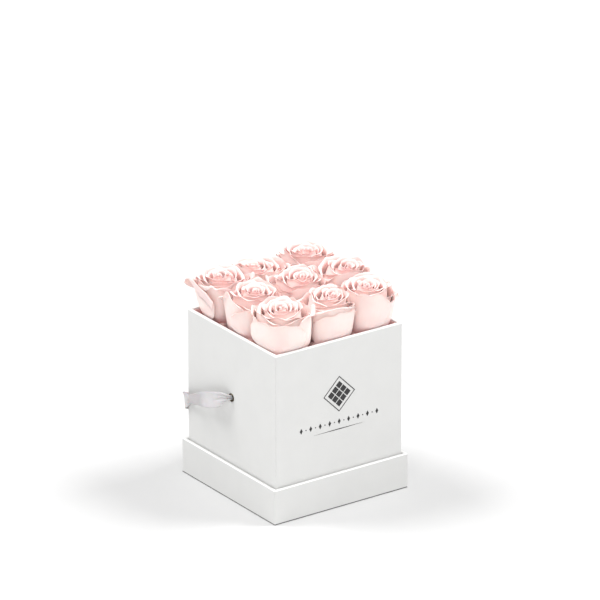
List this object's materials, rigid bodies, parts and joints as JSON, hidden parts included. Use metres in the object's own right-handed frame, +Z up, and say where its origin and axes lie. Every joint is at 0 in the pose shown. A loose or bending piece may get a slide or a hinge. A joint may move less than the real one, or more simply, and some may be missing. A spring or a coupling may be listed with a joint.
{
  "type": "flower box",
  "caption": "Square rigid gift box of preserved roses in floral foam, standing in its upturned lid, with a ribbon carry handle through side eyelets.",
  "frame": {"origin": "centre of the underside of the upturned lid, on the surface that the object stands on", "axes": "+Z up, the way the box and the roses lift out; -Y out of the printed front face; +X to the right of someone who faces the print, through the right eyelet"},
  "size_m": [0.159, 0.1644, 0.202],
  "materials": {
    "wrap_paper": "matt white wrapping paper with a faint tooth",
    "lining_paper": "plain matt off-white lining paper",
    "greyboard": "raw grey board",
    "black_print": "black foil print, satin",
    "dark_metal": "blackened brass, polished",
    "satin_ribbon": "white satin weave",
    "floral_foam": "fine open-cell foam, matt",
    "petal": "soft waxy petal, pale pink, paler towards the light",
    "sepal": "matt green leaf",
    "stem": "dried green stem"
  },
  "bodies": {
    "lid": {"lid_top_sheet": "wrap_paper", "lid_panel_board": "greyboard", "lid_front_board": "greyboard", "lid_back_board": "greyboard", "lid_left_board": "greyboard", "lid_right_board": "greyboard", "lid_side_wrap": "wrap_paper", "lid_lining": "lining_paper"},
    "box": {"box_base_sheet": "wrap_paper", "box_bottom_board": "greyboard", "box_front_board": "greyboard", "box_back_board": "greyboard", "box_left_board": "greyboard", "box_right_board": "greyboard", "box_outer_wrap": "wrap_paper", "box_inner_lining": "lining_paper", "front_print": "black_print", "left_eyelet": "dark_metal", "right_eyelet": "dark_metal", "left_eyelet_washer": "dark_metal", "right_eyelet_washer": "dark_metal", "ribbon_handle": "satin_ribbon", "left_ribbon_knot": "satin_ribbon", "right_ribbon_knot": "satin_ribbon", "foam_block_lower": "floral_foam", "foam_block_upper": "floral_foam"},
    "rose_front_left": {"rose_front_left_bloom": "petal", "rose_front_left_calyx": "sepal", "rose_front_left_stem": "stem"},
    "rose_front_centre": {"rose_front_centre_bloom": "petal", "rose_front_centre_calyx": "sepal", "rose_front_centre_stem": "stem"},
    "rose_front_right": {"rose_front_right_bloom": "petal", "rose_front_right_calyx": "sepal", "rose_front_right_stem": "stem"},
    "rose_middle_left": {"rose_middle_left_bloom": "petal", "rose_middle_left_calyx": "sepal", "rose_middle_left_stem": "stem"},
    "rose_middle_centre": {"rose_middle_centre_bloom": "petal", "rose_middle_centre_calyx": "sepal", "rose_middle_centre_stem": "stem"},
    "rose_middle_right": {"rose_middle_right_bloom": "petal", "rose_middle_right_calyx": "sepal", "rose_middle_right_stem": "stem"},
    "rose_back_left": {"rose_back_left_bloom": "petal", "rose_back_left_calyx": "sepal", "rose_back_left_stem": "stem"},
    "rose_back_centre": {"rose_back_centre_bloom": "petal", "rose_back_centre_calyx": "sepal", "rose_back_centre_stem": "stem"},
    "rose_back_right": {"rose_back_right_bloom": "petal", "rose_back_right_calyx": "sepal", "rose_back_right_stem": "stem"}
  },
  "joints": [
    {"name": "box_lift", "type": "slide", "parent": "lid", "child": "box", "axis": [0, 0, 1], "range_m": [0, 0.06]},
    {"name": "rose_front_left_lift", "type": "slide", "parent": "box", "child": "rose_front_left", "axis": [0, 0, 1], "range_m": [0, 0.07]},
    {"name": "rose_front_centre_lift", "type": "slide", "parent": "box", "child": "rose_front_centre", "axis": [0, 0, 1], "range_m": [0, 0.07]},
    {"name": "rose_front_right_lift", "type": "slide", "parent": "box", "child": "rose_front_right", "axis": [0, 0, 1], "range_m": [0, 0.07]},
    {"name": "rose_middle_left_lift", "type": "slide", "parent": "box", "child": "rose_middle_left", "axis": [0, 0, 1], "range_m": [0, 0.07]},
    {"name": "rose_middle_centre_lift", "type": "slide", "parent": "box", "child": "rose_middle_centre", "axis": [0, 0, 1], "range_m": [0, 0.07]},
    {"name": "rose_middle_right_lift", "type": "slide", "parent": "box", "child": "rose_middle_right", "axis": [0, 0, 1], "range_m": [0, 0.07]},
    {"name": "rose_back_left_lift", "type": "slide", "parent": "box", "child": "rose_back_left", "axis": [0, 0, 1], "range_m": [0, 0.07]},
    {"name": "rose_back_centre_lift", "type": "slide", "parent": "box", "child": "rose_back_centre", "axis": [0, 0, 1], "range_m": [0, 0.07]},
    {"name": "rose_back_right_lift", "type": "slide", "parent": "box", "child": "rose_back_right", "axis": [0, 0, 1], "range_m": [0, 0.07]}
  ]
}
